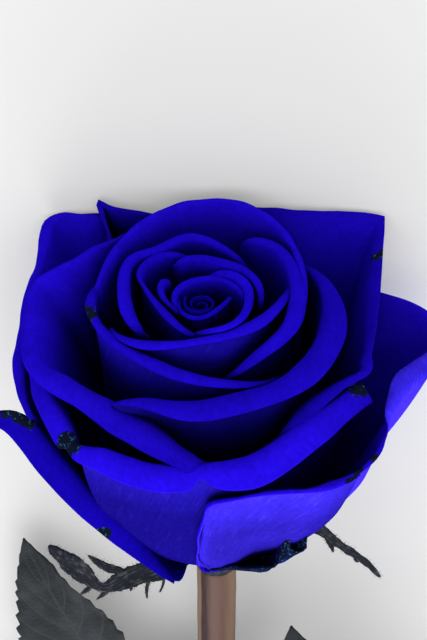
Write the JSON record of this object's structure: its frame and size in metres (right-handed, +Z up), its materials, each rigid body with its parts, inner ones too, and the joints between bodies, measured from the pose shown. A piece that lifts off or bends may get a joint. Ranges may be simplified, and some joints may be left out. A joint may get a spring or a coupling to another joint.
{
  "type": "cut rose",
  "caption": "Open dyed rose with layered rolled petals, a fringed calyx, a thorned stem and toothed compound leaves, lying on its side.",
  "frame": {"origin": "middle of the bounding box, on the surface that the flower lies on", "axes": "+Y runs along the stem from its cut end to the bloom; +Z is up, out of the side of the bloom that shows best; +X completes the frame"},
  "size_m": [0.1476, 0.4016, 0.0656],
  "materials": {
    "petal_blue": "velvety, dyed deep blue",
    "sepal_green": "dark, dry, hairy green",
    "stem_brown": "satin, brown with a lilac tinge",
    "leaf_green": "satin, dark grey green"
  },
  "bodies": {
    "root": {"bloom": "petal_blue", "calyx": "sepal_green", "stem": "stem_brown", "leaf_1": "leaf_green", "leaf_2": "leaf_green", "leaf_3": "leaf_green"}
  },
  "joints": []
}
